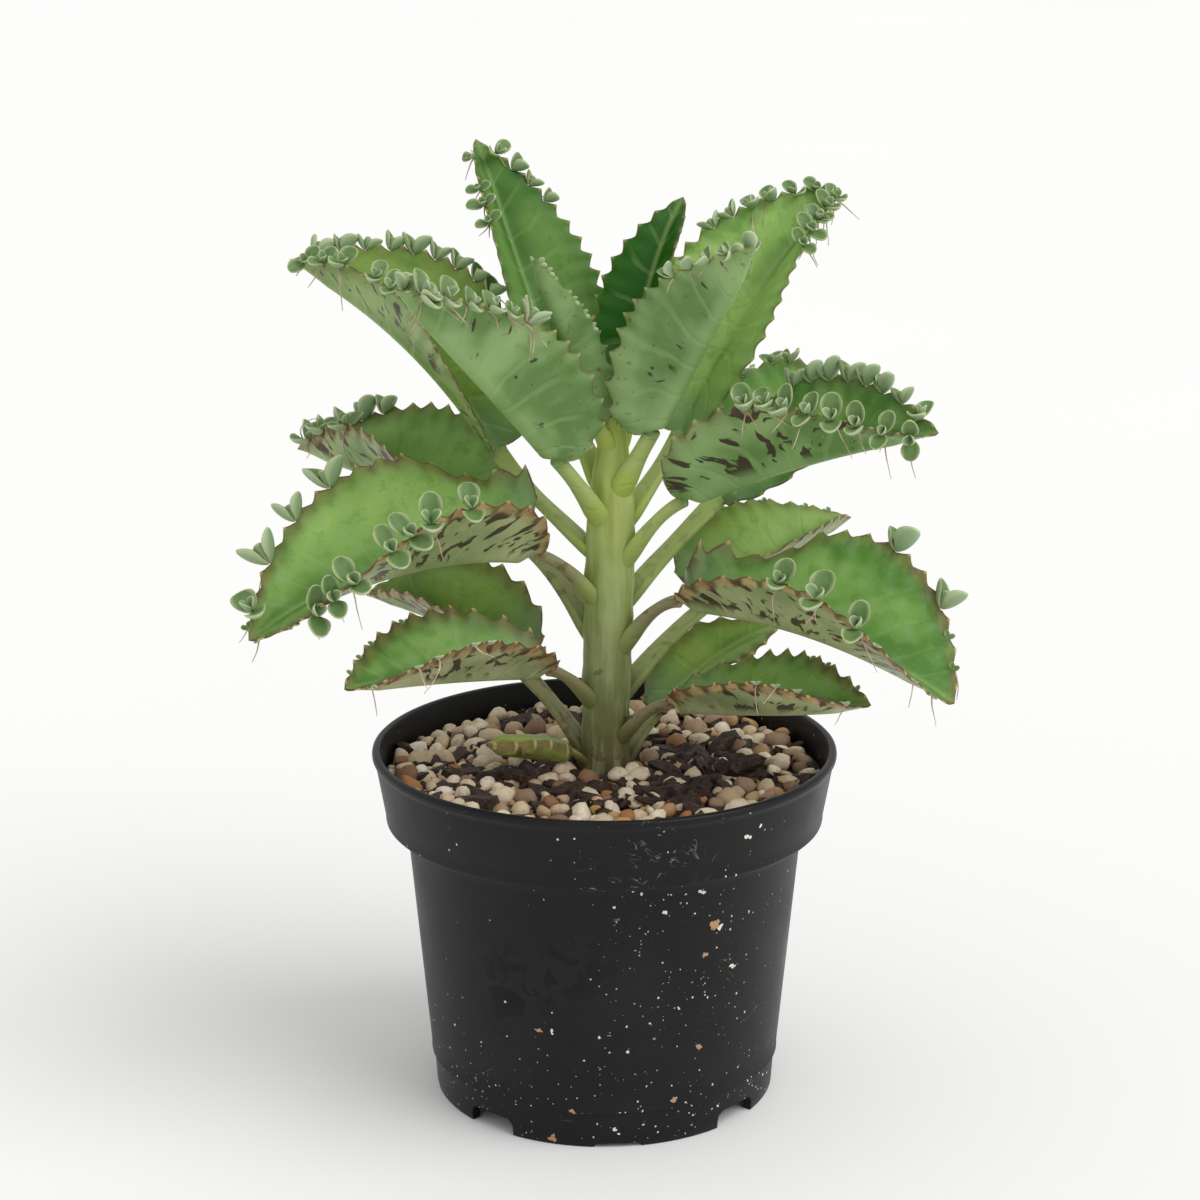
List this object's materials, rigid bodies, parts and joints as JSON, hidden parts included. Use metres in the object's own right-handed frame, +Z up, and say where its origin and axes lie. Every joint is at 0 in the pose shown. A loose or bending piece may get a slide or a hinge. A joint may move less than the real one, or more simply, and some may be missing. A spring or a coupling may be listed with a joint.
{
  "type": "potted succulent plant",
  "caption": "Upright succulent with paired, folded, toothed leaves bearing plantlets along their edges, rooted in gravel soil in a tapered round nursery pot",
  "frame": {"origin": "on the floor plane under the pot's feet, at the middle of the object's outline seen from above", "axes": "+Z up along the height, the longest extent; +X to the viewer's right and +Y away from the viewer of the picture"},
  "size_m": [0.1829, 0.12, 0.2464],
  "materials": {
    "pot_plastic": "matte black moulded plastic, lightly scuffed",
    "gravel_soil": "cream and tan gravel mixed with dark bark",
    "stem_skin": "smooth waxy pale green, olive towards the base",
    "leaf_skin": "waxy green, paler and mottled purple-brown underneath"
  },
  "bodies": {
    "root": {"pot": "pot_plastic", "soil": "gravel_soil", "stem": "stem_skin", "leaf_01": "leaf_skin", "leaf_02": "leaf_skin", "leaf_03": "leaf_skin", "leaf_04": "leaf_skin", "leaf_05": "leaf_skin", "leaf_06": "leaf_skin", "leaf_07": "leaf_skin", "leaf_08": "leaf_skin", "leaf_09": "leaf_skin", "leaf_10": "leaf_skin", "leaf_11": "leaf_skin", "leaf_12": "leaf_skin", "leaf_13": "leaf_skin", "leaf_14": "leaf_skin", "leaf_15": "leaf_skin", "leaf_16": "leaf_skin", "leaf_17": "leaf_skin", "leaf_18": "leaf_skin"}
  },
  "joints": []
}
